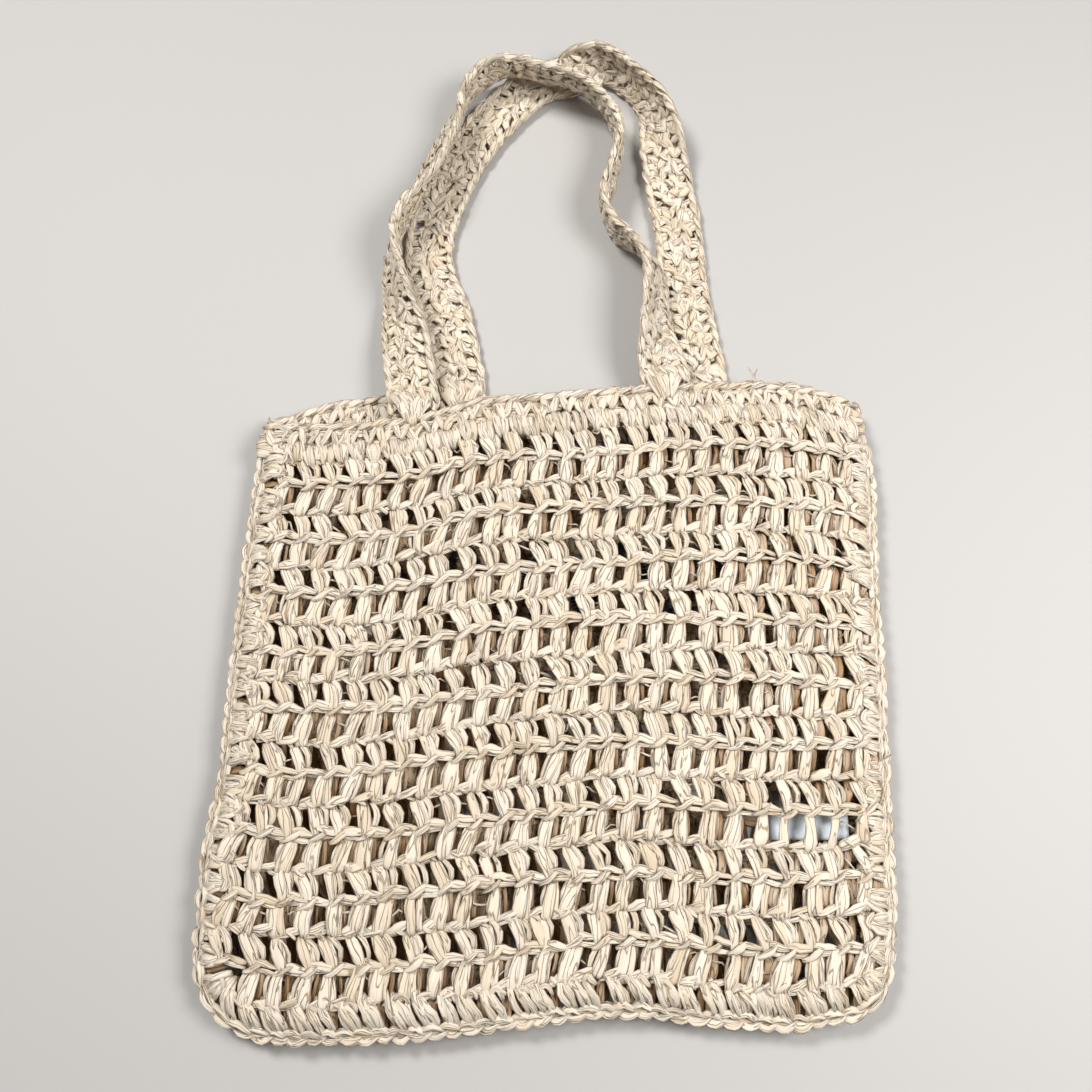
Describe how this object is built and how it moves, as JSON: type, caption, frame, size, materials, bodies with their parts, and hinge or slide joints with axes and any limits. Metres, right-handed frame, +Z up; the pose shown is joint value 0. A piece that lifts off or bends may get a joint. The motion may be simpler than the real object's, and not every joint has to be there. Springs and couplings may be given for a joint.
{
  "type": "crocheted beach tote bag",
  "caption": "Open-topped tote bag in openwork crocheted raffia, lying flat, with close-worked mouth band and two soft shoulder handles.",
  "frame": {"origin": "middle of the bag's footprint, on the surface it lies on", "axes": "+X to the right across the bag, +Y from the bottom seam to the handles, +Z up from the back panel to the front panel"},
  "size_m": [0.3832, 0.6231, 0.0366],
  "materials": {
    "raffia": "natural cream raffia straw, dry satin sheen",
    "label": "white satin-woven label tape",
    "satin_thread": "black satin embroidery thread"
  },
  "bodies": {
    "bag": {"back_panel": "raffia", "front_panel": "raffia", "back_band": "raffia", "front_band": "raffia", "back_rim_chain": "raffia", "front_rim_chain": "raffia", "left_side_wraps": "raffia", "right_side_wraps": "raffia", "bottom_wraps": "raffia", "edge_chain": "raffia", "front_left_foot": "raffia", "front_right_foot": "raffia", "back_left_foot": "raffia", "back_right_foot": "raffia", "label_seam": "raffia", "black_motif": "satin_thread", "yarn_tail": "raffia"},
    "front_handle_body": {"front_handle": "raffia", "front_handle_inner_chain": "raffia", "front_handle_outer_chain": "raffia"},
    "back_handle_body": {"back_handle": "raffia", "back_handle_inner_chain": "raffia", "back_handle_outer_chain": "raffia"},
    "label": {"care_label": "label"}
  },
  "joints": [
    {"name": "front_handle_fold", "type": "hinge", "parent": "bag", "child": "front_handle_body", "pos_m": [-0.009, 0.05485, 0.0203], "axis": [0.9946, 0.1033, 0], "range_deg": [0, 140]},
    {"name": "back_handle_fold", "type": "hinge", "parent": "bag", "child": "back_handle_body", "pos_m": [0.0175, 0.06085, -0.0003], "axis": [1, 0, 0], "range_deg": [-150, 0]},
    {"name": "label_flip", "type": "hinge", "parent": "bag", "child": "label", "pos_m": [0.161, -0.201, 0.00715], "axis": [0, 1, 0], "range_deg": [0, 8]}
  ]
}
